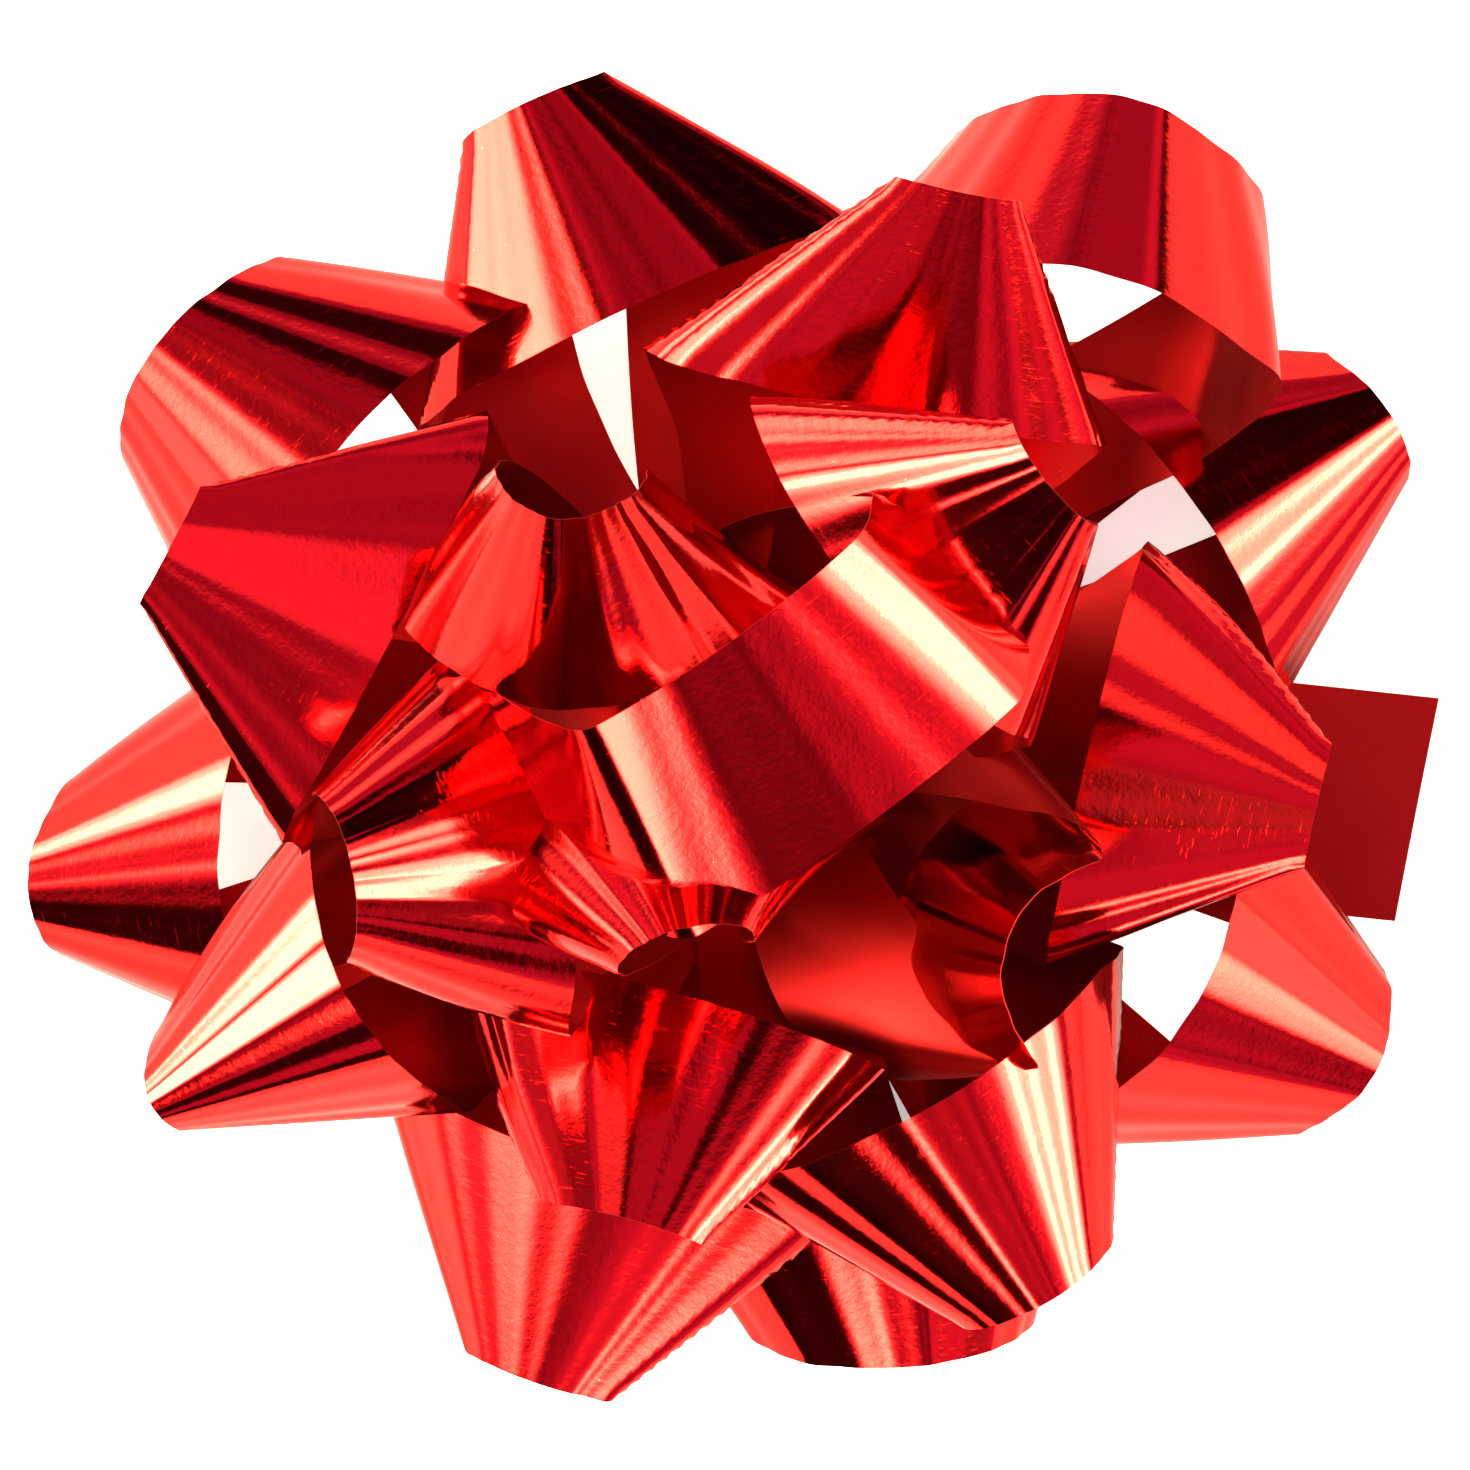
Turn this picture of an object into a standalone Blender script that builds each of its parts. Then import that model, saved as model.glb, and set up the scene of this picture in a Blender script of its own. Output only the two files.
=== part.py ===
"""Pre-made gift bow: ribbon loops in three tiers round a stapled core, on a card with an adhesive pad.

Every loop is a straight strip of ribbon wrapped on a flattened cone. The cone's apex lies just outside
the loop's tip, and both ends of the strip come back under the cone to the core, where they are stapled.
"""

from collections import namedtuple

import bmesh
import bpy
import numpy as np
from mathutils import Matrix, Vector

MM = 0.001

# Ribbon
RIBBON_WIDTH = 19.0 * MM
FILM = 0.4 * MM  # the solids' thickness, which stands for a much thinner film
LEG_WIDTH = 2.0 * MM  # a strip is gathered to this width where it meets the core
LEG_FAN = 14.0  # degrees between a loop's middle and each of its legs, at the core
WIDE_UNTIL = 0.50  # how far along each half the strip keeps its full width, of 1
CROWD = 2.4  # how much closer together the cross lines are at the tip
STRIP_SEGMENTS = 36
WIDTH_SEGMENTS = 2

# Stack under the loops, from the surface that the bow stands on
GAP = 0.3 * MM
LINER_THICKNESS = 0.3 * MM
LINER_RADIUS = 15.0 * MM
TAB_WIDTH = 9.0 * MM
TAB_REACH = 22.0 * MM
PAD_THICKNESS = 1.2 * MM
PAD_RADIUS = 13.0 * MM
PAD_WINDOW = (9.0 * MM, 3.0 * MM)
CARD_THICKNESS = 0.6 * MM
CARD_RADIUS = 16.0 * MM
CORE_RADIUS = 8.5 * MM
LAYER_PITCH = 1.15 * MM
LAYERS = 9
DISC_SIDES = 40

PAD_BOTTOM = LINER_THICKNESS + GAP
CARD_BOTTOM = PAD_BOTTOM + PAD_THICKNESS + GAP
CORE_BOTTOM = CARD_BOTTOM + CARD_THICKNESS + GAP
FIRST_LAYER = CORE_BOTTOM + 0.6 * MM + LAYER_PITCH
CORE_TOP = FIRST_LAYER + LAYERS * LAYER_PITCH

# Staple
STAPLE_SPAN = 6.4 * MM
STAPLE_WIRE = 0.6 * MM
STAPLE_FOOT = 2.2 * MM

# Tail
TAIL_AZIMUTH = -6.0
TAIL_REACH = 57.5 * MM
TAIL_LAYER = -1
TAIL_PIVOT_RADIUS = 9.5 * MM

# azimuth: where the tip points; reach: the tip's distance from the staple along the cone's lowest
# line; lift: that line's slope; spread: the cone's half angle across; gap: apex to tip, in ribbon
# widths; layer: height at the core, in layers; turn, nod and roll: the cone turned about the
# vertical, about its own crossways direction and about its axis. Angles in degrees, reach in
# millimetres.
Loop = namedtuple("Loop", "azimuth reach lift spread gap layer turn nod roll", defaults=(0, 0, 0))

LOOPS = {
    "lower_loop_1": Loop(147, 57.5, 8, 29, 0.70, 2, roll=8),
    "lower_loop_2": Loop(109, 57.0, 6, 36, 0.36, 0, turn=3),
    "lower_loop_3": Loop(57, 61.0, 4, 26, 1.10, 2, turn=16, nod=3, roll=8),
    "lower_loop_4": Loop(25, 62.0, 1, 34, 0.36, 0, nod=-5),
    "lower_loop_5": Loop(-24, 61.0, 9, 33, 0.45, 1, roll=4),
    "lower_loop_6": Loop(-75, 55.0, -1, 24, 0.90, 0, turn=3, nod=-6),
    "lower_loop_7": Loop(-104, 57.0, 12, 37, 0.36, 2, turn=12, nod=5, roll=-12),
    "lower_loop_8": Loop(-170, 60.0, 1, 29, 0.38, 0),
    "middle_loop_1": Loop(163, 53.0, 27, 31, 0.40, 3, nod=10),
    "middle_loop_2": Loop(-147, 58.5, 21, 26, 0.30, 2),
    "middle_loop_3": Loop(-104, 48.0, 34, 34, 0.40, 3),
    "middle_loop_4": Loop(-61, 56.5, 23, 32, 0.40, 2, turn=-3, roll=4),
    "middle_loop_5": Loop(-6, 53.0, 25, 34, 0.37, 2, roll=6),
    "middle_loop_6": Loop(67, 55.0, 31, 37, 0.34, 3),
    "inner_loop_1": Loop(113, 42.0, 45, 36, 0.45, 5, nod=-3, roll=12),
    "inner_loop_2": Loop(34, 51.0, 48, 42, 0.25, 4, turn=-6, roll=-8),
    "inner_loop_3": Loop(196, 50.0, 53, 36, 0.45, 7, turn=3, nod=-3),
    "inner_loop_4": Loop(-80, 44.0, 71, 38, 0.25, 4, turn=-6),
    "inner_loop_5": Loop(-36, 36.0, 36, 30, 0.40, 4, turn=3, nod=48),
    "centre_loop": Loop(121, 45.0, 76, 40, 0.25, 8, nod=54),
}

RED_FILM = (0.62, 0.005, 0.02, 1.0)
CARD_WHITE = (0.82, 0.80, 0.76, 1.0)
FOAM_WHITE = (0.88, 0.87, 0.84, 1.0)
LINER_PAPER = (0.86, 0.84, 0.72, 1.0)
STEEL = (0.62, 0.62, 0.63, 1.0)


def clear_scene():
    for obj in list(bpy.data.objects):
        bpy.data.objects.remove(obj, do_unlink=True)


def material(name, colour, roughness, metallic):
    mat = bpy.data.materials.get(name)
    if mat is None:
        mat = bpy.data.materials.new(name)
        mat.use_nodes = True
        shader = mat.node_tree.nodes["Principled BSDF"]
        shader.inputs["Base Color"].default_value = colour
        shader.inputs["Roughness"].default_value = roughness
        shader.inputs["Metallic"].default_value = metallic
    return mat


def add_object(name, mesh, mat, smooth=False):
    mesh.materials.append(mat)
    obj = bpy.data.objects.new(name, mesh)
    bpy.context.scene.collection.objects.link(obj)
    if smooth:
        mesh.shade_smooth()
    return obj


def smoothstep(x):
    x = np.clip(x, 0.0, 1.0)
    return x * x * (3.0 - 2.0 * x)


def section_arc(spread, rise):
    """Angle along the cone's section, an ellipse of half angles spread and rise, against its parameter."""
    tau = np.linspace(-1.5 * np.pi, 1.5 * np.pi, 1201)
    across = spread * np.sin(tau)
    upward = rise * np.cos(tau)
    tilt = np.hypot(across, upward)
    unit = np.stack([np.cos(tilt), np.sin(tilt) * across / tilt, np.sin(tilt) * upward / tilt], axis=1)
    steps = np.linalg.norm(np.diff(unit, axis=0), axis=1)
    arc = np.concatenate([[0.0], np.cumsum(steps)])
    return tau, arc - np.interp(0.0, tau, arc)


def section_rise(spread, half_wrap):
    """The half angle up and down that makes half of the section as long as half_wrap."""
    low, high = np.radians(6.0), np.radians(60.0)
    for _ in range(30):
        rise = 0.5 * (low + high)
        tau, arc = section_arc(spread, rise)
        if np.interp(np.pi, tau, arc) < half_wrap:
            low = rise
        else:
            high = rise
    return rise


def layer_height(layer):
    return FIRST_LAYER + layer * LAYER_PITCH


def heading(azimuth):
    """Unit vector in plan, for an azimuth in radians."""
    return np.array([np.cos(azimuth), np.sin(azimuth), 0.0])


def cone_frame(loop, rise):
    """The cone's axis, pointing in from the apex, and its directions across and up."""
    up = np.array([0.0, 0.0, 1.0])
    slope = rise + np.radians(loop.nod - loop.lift)
    inward = -heading(np.radians(loop.azimuth + loop.turn))
    axis = inward * np.cos(slope) + up * np.sin(slope)
    raised = up * np.cos(slope) - inward * np.sin(slope)
    across = np.cross(raised, axis)
    roll = np.radians(loop.roll)
    return axis, across * np.cos(roll) + raised * np.sin(roll), raised * np.cos(roll) - across * np.sin(roll)


def strip_points(loop, along, offset):
    """Points of a straight strip wrapped on the loop's cone.

    along runs from -1 to 1 between the ends at the core, and offset is the distance from the strip's
    centreline, away from the apex. In the flat strip a point's distance and angle from the apex are
    kept, and the angle is laid out along the cone's section. The grid's cross lines are rulings of
    the cone at the tip and square to the strip at its ends. Each leg is then drawn in to its own
    place on the core.
    """
    lift = np.radians(loop.lift)
    spread = np.radians(loop.spread)
    gap = loop.gap * RIBBON_WIDTH
    centre = gap + 0.5 * RIBBON_WIDTH
    length = loop.reach * MM + gap
    rise = section_rise(spread, np.arccos(centre / length))
    axis, across, raised = cone_frame(loop, rise)
    staple = np.array([0.0, 0.0, layer_height(loop.layer)])
    outward = heading(np.radians(loop.azimuth))
    apex = staple + length * (outward * np.cos(lift) + np.array([0.0, 0.0, np.sin(lift)]))
    half_length = np.sqrt(length**2 - centre**2) - CORE_RADIUS
    tau, arc = section_arc(spread, rise)

    def wrapped(place_along, shift):
        run = half_length * np.sinh(CROWD * place_along) / np.sinh(CROWD)
        run = run * (1.0 + shift / centre * (1.0 - smoothstep(np.abs(place_along))))
        distance = np.hypot(run, centre + shift)
        place = np.interp(np.arctan2(run, centre + shift), arc, tau)
        side = spread * np.sin(place)
        height = rise * np.cos(place)
        tilt = np.hypot(side, height)
        ray = (
            np.cos(tilt)[..., None] * axis
            + (np.sin(tilt) * side / tilt)[..., None] * across
            + (np.sin(tilt) * height / tilt)[..., None] * raised
        )
        return apex + distance[..., None] * ray

    points = wrapped(along, offset)
    for side in (-1.0, 1.0):
        landing = heading(np.radians(loop.azimuth - side * LEG_FAN))
        beside = side * np.array([landing[1], -landing[0], 0.0])
        target = staple + landing * (CORE_RADIUS + GAP) + offset[..., None] * beside
        ends = wrapped(np.full_like(along, side), offset)
        pull = smoothstep((side * along - WIDE_UNTIL) / (1.0 - WIDE_UNTIL))
        points = points + pull[..., None] * (target - ends)
    return points


def strip_mesh(name, points):
    """An open sheet of quads through a grid of points."""
    rows, columns = points.shape[:2]
    index = np.arange(rows * columns).reshape(rows, columns)
    quads = np.stack([index[:-1, :-1], index[1:, :-1], index[1:, 1:], index[:-1, 1:]], axis=-1)
    mesh = bpy.data.meshes.new(name)
    mesh.from_pydata(points.reshape(-1, 3).tolist(), [], quads.reshape(-1, 4).tolist())
    return mesh


def thicken(obj):
    wall = obj.modifiers.new("film", "SOLIDIFY")
    wall.thickness = FILM
    wall.offset = 0.0
    return obj


def add_loop(name, loop):
    along = np.linspace(-1.0, 1.0, STRIP_SEGMENTS + 1)
    across = np.linspace(-0.5, 0.5, WIDTH_SEGMENTS + 1)
    along, across = np.meshgrid(along, across, indexing="ij")
    gather = smoothstep((np.abs(along) - WIDE_UNTIL) / (1.0 - WIDE_UNTIL))
    width = RIBBON_WIDTH + (LEG_WIDTH - RIBBON_WIDTH) * gather
    mesh = strip_mesh(name, strip_points(loop, along, across * width))
    return thicken(add_object(name, mesh, material("red_film", RED_FILM, 0.12, 1.0), smooth=True))


def add_tail():
    """The ribbon's cut end: a strip that comes out level from the core and stays flat."""
    along = np.linspace(0.0, 1.0, 13)
    across = np.linspace(-0.5, 0.5, 3)
    along, across = np.meshgrid(along, across, indexing="ij")
    outward = heading(np.radians(TAIL_AZIMUTH))
    beside = np.array([-outward[1], outward[0], 0.0])
    start = TAIL_PIVOT_RADIUS
    width = LEG_WIDTH + (RIBBON_WIDTH - LEG_WIDTH) * smoothstep((along - 0.1) / 0.6)
    slant = 0.09 * across * RIBBON_WIDTH
    distance = start + along * (TAIL_REACH - start + slant)
    points = distance[..., None] * outward + (across * width)[..., None] * beside
    points[..., 2] += layer_height(TAIL_LAYER)
    pivot = np.array([*(outward[:2] * start), layer_height(TAIL_LAYER)])
    mesh = strip_mesh("ribbon_tail", points - pivot)
    tail = add_object("ribbon_tail", mesh, material("red_film", RED_FILM, 0.12, 1.0), smooth=True)
    tail.location = pivot
    return thicken(tail)


def disc(name, radius, bottom, thickness, mat):
    mesh = bpy.data.meshes.new(name)
    form = bmesh.new()
    middle = Matrix.Translation(Vector((0.0, 0.0, bottom + 0.5 * thickness)))
    bmesh.ops.create_cone(
        form, cap_ends=True, segments=DISC_SIDES, radius1=radius, radius2=radius, depth=thickness, matrix=middle
    )
    form.to_mesh(mesh)
    form.free()
    return add_object(name, mesh, mat)


def box(name, size, centre, mat=None):
    mesh = bpy.data.meshes.new(name)
    form = bmesh.new()
    place = Matrix.Translation(Vector(centre)) @ Matrix.Diagonal((*size, 1.0))
    bmesh.ops.create_cube(form, size=1.0, matrix=place)
    form.to_mesh(mesh)
    form.free()
    return add_object(name, mesh, mat or material("cutter", CARD_WHITE, 0.5, 0.0))


def cut(obj, cutter):
    cutter.hide_render = True
    cutter.display_type = "WIRE"
    hole = obj.modifiers.new(cutter.name, "BOOLEAN")
    hole.operation = "DIFFERENCE"
    hole.solver = "EXACT"
    hole.object = cutter


def join(obj, other):
    union = obj.modifiers.new(other.name, "BOOLEAN")
    union.operation = "UNION"
    union.solver = "EXACT"
    union.object = other
    other.hide_render = True
    other.display_type = "WIRE"


def staple_slots():
    """Two slots for the staple's legs, as one cutter for each leg."""
    size = (STAPLE_WIRE + 2.0 * GAP, STAPLE_WIRE + 2.0 * GAP, 4.0 * CORE_TOP)
    reach = 0.5 * (STAPLE_SPAN - STAPLE_WIRE)
    return [box(f"slot_{i}", size, (side * reach, 0.0, 0.0)) for i, side in enumerate((-1.0, 1.0))]


def mirrored(outline):
    """The same points on the other side, in the opposite order."""
    return [(-x, z) for x, z in reversed(outline)]


def add_staple():
    """A square wire bent to a crown, two legs and two feet turned in under the card."""
    half = 0.5 * STAPLE_SPAN
    top = CORE_TOP + GAP + STAPLE_WIRE
    bottom = CARD_BOTTOM - GAP - STAPLE_WIRE
    outer = [(-half + STAPLE_FOOT, bottom), (-half, bottom), (-half, top)]
    inner = [
        (-half + STAPLE_WIRE, top - STAPLE_WIRE),
        (-half + STAPLE_WIRE, bottom + STAPLE_WIRE),
        (-half + STAPLE_FOOT, bottom + STAPLE_WIRE),
    ]
    outline = outer + mirrored(outer) + mirrored(inner) + inner
    mesh = bpy.data.meshes.new("staple")
    form = bmesh.new()
    corners = [form.verts.new((x, -0.5 * STAPLE_WIRE, z)) for x, z in outline]
    face = form.faces.new(corners)
    grown = bmesh.ops.extrude_face_region(form, geom=[face])
    moved = [v for v in grown["geom"] if isinstance(v, bmesh.types.BMVert)]
    bmesh.ops.translate(form, verts=moved, vec=(0.0, STAPLE_WIRE, 0.0))
    bmesh.ops.recalc_face_normals(form, faces=form.faces)
    form.to_mesh(mesh)
    form.free()
    return add_object("staple", mesh, material("steel_wire", STEEL, 0.3, 1.0))


def add_base():
    slots = staple_slots()
    core_height = CORE_TOP - CORE_BOTTOM
    core = disc("ribbon_core", CORE_RADIUS, CORE_BOTTOM, core_height, material("red_film", RED_FILM, 0.12, 1.0))
    card_mat = material("base_card", CARD_WHITE, 0.7, 0.0)
    card = disc("base_card", CARD_RADIUS, CARD_BOTTOM, CARD_THICKNESS, card_mat)
    for slot in slots:
        cut(core, slot)
        cut(card, slot)
    pad = disc("adhesive_pad", PAD_RADIUS, PAD_BOTTOM, PAD_THICKNESS, material("foam", FOAM_WHITE, 0.9, 0.0))
    cut(pad, box("pad_window", (*PAD_WINDOW, 8.0 * PAD_THICKNESS), (0.0, 0.0, PAD_BOTTOM)))
    paper = material("liner_paper", LINER_PAPER, 0.5, 0.0)
    liner = disc("release_liner", LINER_RADIUS, 0.0, LINER_THICKNESS, paper)
    tab_middle = (0.0, -0.5 * TAB_REACH, 0.5 * LINER_THICKNESS)
    join(liner, box("liner_tab", (TAB_WIDTH, TAB_REACH, LINER_THICKNESS), tab_middle, paper))


def main():
    clear_scene()
    for name, loop in LOOPS.items():
        add_loop(name, loop)
    add_tail()
    add_base()
    add_staple()


main()
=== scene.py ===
"""Pre-made gift bow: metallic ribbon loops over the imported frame, on a plain stage.

Every loop is a straight strip of film wrapped on a flattened cone. The file is laid out as an add-on
and is run as a script: each piece or group of like pieces has its own operator.
"""

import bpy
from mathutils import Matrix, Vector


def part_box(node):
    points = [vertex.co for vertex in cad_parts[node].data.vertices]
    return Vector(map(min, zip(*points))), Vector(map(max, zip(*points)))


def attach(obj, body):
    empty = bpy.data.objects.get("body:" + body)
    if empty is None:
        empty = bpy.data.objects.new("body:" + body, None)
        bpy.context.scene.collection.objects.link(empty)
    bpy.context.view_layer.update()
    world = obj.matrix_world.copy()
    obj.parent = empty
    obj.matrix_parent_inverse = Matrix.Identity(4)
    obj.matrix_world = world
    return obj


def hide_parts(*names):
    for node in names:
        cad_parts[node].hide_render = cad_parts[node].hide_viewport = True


bl_info = {
    "name": "Gift Bow",
    "version": (1, 0, 0),
    "blender": (4, 5, 0),
    "location": "3D View > Sidebar > Gift Bow",
    "description": "Makes a stapled bow of metallic ribbon on its card, pad and liner, and a plain stage",
    "category": "Add Mesh",
}

from collections import namedtuple

import bpy
import numpy as np
from bpy.props import FloatProperty, FloatVectorProperty, PointerProperty
from mathutils import Vector

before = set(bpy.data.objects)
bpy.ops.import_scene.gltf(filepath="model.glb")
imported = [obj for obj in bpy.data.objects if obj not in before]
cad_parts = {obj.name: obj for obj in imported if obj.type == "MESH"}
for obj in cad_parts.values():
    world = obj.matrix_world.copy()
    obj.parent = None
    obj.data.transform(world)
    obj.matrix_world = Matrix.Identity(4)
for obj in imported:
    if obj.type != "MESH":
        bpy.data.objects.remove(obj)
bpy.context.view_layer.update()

MM = 0.001

# Where the loops meet the core, as in the frame's own solids
FIRST_LAYER = 4.75 * MM
LAYER_PITCH = 1.15 * MM
CORE_RADIUS = 8.5 * MM
LEG_FAN = 14.0  # degrees between a loop's middle and each of its legs, at the core

# How a strip is laid out
WIDE_UNTIL = 0.50  # how far along each half the strip stays on its cone, of 1
CROWD = 2.4  # how much closer together the cross lines are at the tip
ALONG = 180  # faces along a strip
ACROSS = 16  # faces across a strip
CREASED_UNTIL = 0.7  # how far along each half the creases keep their full depth, of 1
PLEAT_REACH = 20.9 * MM  # distance from the apex over which the pleats die away
PLEAT_LEVEL = 0.36  # taken off the pleats, so that they stand out and sink in alike
CREASE_SEED = 11  # each loop's creases come from this and its place in LOOPS

# The legs are pressed on each other in the core, one film above the other
STACK_BOTTOM = 4.2 * MM
STACK_TOP = 14.4 * MM

TAIL_AZIMUTH = -6.0
TAIL_REACH = 57.5 * MM
TAIL_START = 9.5 * MM
TAIL_HEIGHT = 3.6 * MM
TAIL_ROOT_WIDTH = 4.0 * MM
TAIL_SLANT = 0.09  # how much further the cut goes out, for each step across
TAIL_CURL = 0.4 * MM  # how far the corners of the cut lift

# azimuth: where the tip points; reach: the tip's distance from the staple along the cone's lowest
# line; lift: that line's slope; spread: the cone's half angle across; gap: apex to tip, in ribbon
# widths; layer: height at the core, in layers; turn, nod and roll: the cone turned about the
# vertical, about its own crossways direction and about its axis; skew: how far the strip's nearest
# point to the apex is turned round the cone; crown: how much rounder the cone's top is than its
# bottom; streak: depth of the ridges that run from the apex; pleat: depth of the sharp folds near
# the apex. Angles in degrees, reach in millimetres.
# The loops lie near the frame's own solids of the same names, and not exactly on them.
Loop = namedtuple(
    "Loop",
    "azimuth reach lift spread gap layer turn nod roll skew crown streak pleat",
    defaults=(0, 0, 0, 0, 0.75, 0.020, 0.0),
)

LOWER = {
    "lower_loop_1": Loop(145, 55.8, 5, 29, 0.93, 2, nod=5, roll=7, skew=-3),
    "lower_loop_2": Loop(109, 56.0, 12, 34, 0.48, 0, turn=7, nod=1, skew=-1),
    "lower_loop_3": Loop(63, 55.5, -1, 27, 1.32, 2, turn=15, nod=12, roll=5, skew=-4),
    "lower_loop_4": Loop(27, 60.3, 1, 32, 0.48, 0, turn=2, nod=-6, roll=-2, skew=5),
    "lower_loop_5": Loop(-27, 57.6, 4, 29, 0.67, 1, turn=1, nod=6, roll=2, skew=-2),
    "lower_loop_6": Loop(-76, 53.3, 0, 28, 1.09, 0, turn=-3, nod=-6, roll=2, skew=-7),
    "lower_loop_7": Loop(-107, 55.7, 9, 35, 0.48, 2, turn=1, nod=9, roll=-12, skew=-2),
    "lower_loop_8": Loop(-169, 58.5, 0, 30, 0.57, 0, turn=-4, nod=2, roll=2, skew=-7),
}
MIDDLE = {
    "middle_loop_1": Loop(161, 54.5, 28, 36, 0.37, 3, turn=-4, nod=9, roll=-1, skew=-5),
    "middle_loop_2": Loop(-148, 59.2, 21, 28, 0.28, 2, roll=-6, skew=-10),
    "middle_loop_3": Loop(-102, 49.0, 35, 33, 0.51, 3, turn=2, roll=-2, skew=-6),
    "middle_loop_4": Loop(-61, 55.2, 20, 31, 0.55, 2, nod=9, roll=-2, skew=1),
    "middle_loop_5": Loop(-8, 52.2, 25, 35, 0.37, 2, turn=-7, nod=-1, roll=6, skew=4),
    "middle_loop_6": Loop(68, 56.4, 33, 36, 0.36, 3, turn=2, nod=4, roll=-14, skew=3),
}
INNER = {
    "inner_loop_1": Loop(118, 51.0, 63, 25, 0.55, 5, turn=-24, nod=-20, roll=8, crown=0.2, pleat=0.05),
    "inner_loop_2": Loop(38, 57.5, 55, 31, 0.42, 4, turn=-8, nod=-8, roll=-14, crown=0.0, pleat=0.1),
    "inner_loop_3": Loop(197, 52.0, 50, 27, 0.60, 7, turn=-6, nod=-18, roll=4, skew=3, crown=0.0, pleat=0.08),
    "inner_loop_4": Loop(-97, 51.0, 70, 30, 0.45, 4, turn=25, nod=-8, roll=4, crown=0.0, pleat=0.08),
    "inner_loop_5": Loop(-32, 40.0, 54, 22, 1.10, 4, turn=15, nod=-42, crown=0.3, pleat=0.02),
}
CENTRE = {
    "centre_loop": Loop(118, 38.3, 58, 25, 1.87, 8, turn=3, nod=26, roll=-2, skew=3),
}
LOOPS = {**LOWER, **MIDDLE, **INNER, **CENTRE}

WARM = (1.0, 0.88, 0.58)
PINK_WHITE = (1.0, 0.85, 1.0)

# Name, azimuth and tilt from straight up in degrees, distance, size, brightness, colour, and if the
# foil mirrors it
SOFTBOXES = (
    ("key_left_core", 184, 40, 0.88, (0.20, 0.40), 40.0, WARM, True),
    ("key_left_low_core", 152, 77, 0.88, (0.18, 0.18), 40.0, WARM, True),
    ("key_right_core", -8, 60, 0.88, (0.26, 0.14), 40.0, WARM, True),
    ("overhead", 100, 2, 1.0, (0.56, 0.44), 0.5, PINK_WHITE, True),
    ("floor_wash", 0, 0, 1.2, (1.6, 1.6), 0.8, (1.0, 1.0, 1.0), False),
)

# The room that the foil mirrors, and what the camera sees behind the floor
ROOM_COLOUR = (1.0, 0.30, 1.00)
ROOM_STRENGTH = 0.62
BACKDROP = (0.93, 0.93, 0.93)
DARK_CARD = 0.03  # what a dark card leaves of the room's light

# Azimuth and tilt of a soft glow on the walls, the angles where it is brightest and where it ends, and
# its brightness
GLOWS = (
    (182, 45, 1, 23, 38.0),
    (188, 82, 2, 20, 6.0),
    (150, 78, 1, 18, 30.0),
    (-6, 60, 1, 21, 32.0),
    (14, 82, 2, 16, 5.0),
    (-93, 47, 1, 11, 40.0),
    (100, 45, 2, 12, 2.5),
)

# Azimuth and tilt of a dark card in degrees, and the angles where it is darkest and where it ends
DARK_CARDS = (
    (-125, 72, 24, 27),
    (-86, 84, 10, 12),
    (46, 55, 17, 20),
    (45, 95, 14, 17),
    (108, 70, 11, 14),
    (-40, 80, 8, 10),
    (170, 20, 7, 9),
    (90, 38, 6, 8),
)


class BowSizes(bpy.types.PropertyGroup):
    ribbon_width: FloatProperty(
        name="Ribbon width",
        description="Width of the ribbon that every loop is made from",
        default=19.0 * MM,
        min=5.0 * MM,
        max=60.0 * MM,
        unit="LENGTH",
    )
    leg_width: FloatProperty(
        name="Leg width",
        description="Width that a loop's two ends are gathered to at the core",
        default=11.0 * MM,
        min=2.0 * MM,
        max=19.0 * MM,
        unit="LENGTH",
    )
    film: FloatProperty(
        name="Film thickness",
        description="Thickness of the ribbon film",
        default=0.06 * MM,
        min=0.02 * MM,
        max=0.5 * MM,
        unit="LENGTH",
    )
    creasing: FloatProperty(
        name="Creasing",
        description="How deep the streaks and pleats in the film are, of their usual depth",
        default=1.0,
        min=0.0,
        max=3.0,
        subtype="FACTOR",
    )


def colour_property(name, description, default):
    return FloatVectorProperty(
        name=name, description=description, default=default, min=0.0, max=1.0, size=3, subtype="COLOR"
    )


class BowColours(bpy.types.PropertyGroup):
    foil: colour_property("Foil", "Colour of the ribbon's mirror side", (0.84, 0.010, 0.009))
    back: colour_property("Back", "Colour of the ribbon's plain side", (0.22, 0.0004, 0.0004))
    card: colour_property("Card", "Colour of the base card", (0.78, 0.75, 0.70))
    foam: colour_property("Foam", "Colour of the adhesive pad", (0.85, 0.84, 0.80))
    liner: colour_property("Liner", "Colour of the release liner", (0.86, 0.83, 0.70))
    floor: colour_property("Floor", "Colour of the stage floor", (0.90, 0.90, 0.90))


class BowStage(bpy.types.PropertyGroup):
    camera_height: FloatProperty(
        name="Camera height", description="Height of the camera over the floor", default=0.6, unit="LENGTH"
    )
    view_width: FloatProperty(
        name="View width", description="Width of the floor in the view", default=0.12407, unit="LENGTH"
    )
    brightness: FloatProperty(
        name="Brightness", description="Strength of the studio lights, of their usual strength", default=1.0
    )


# Shapes ---------------------------------------------------------------------------------------------


def smoothstep(x):
    """0 below 0, 1 above 1, and 3 x squared less 2 x cubed between them."""
    x = np.clip(x, 0.0, 1.0)
    return x * x * (3.0 - 2.0 * x)


def heading(azimuth):
    """Unit vector in plan, for an azimuth in radians: cosine along X, sine along Y."""
    return np.array([np.cos(azimuth), np.sin(azimuth), 0.0])


def section(spread, rise, crown, place):
    """The cone's section: spread times the sine of the place across, and rise times its cosine plus crown
    times the cosine squared upwards, so that the top is rounder than the bottom."""
    return spread * np.sin(place), rise * (np.cos(place) + crown * np.cos(place) ** 2)


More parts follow.
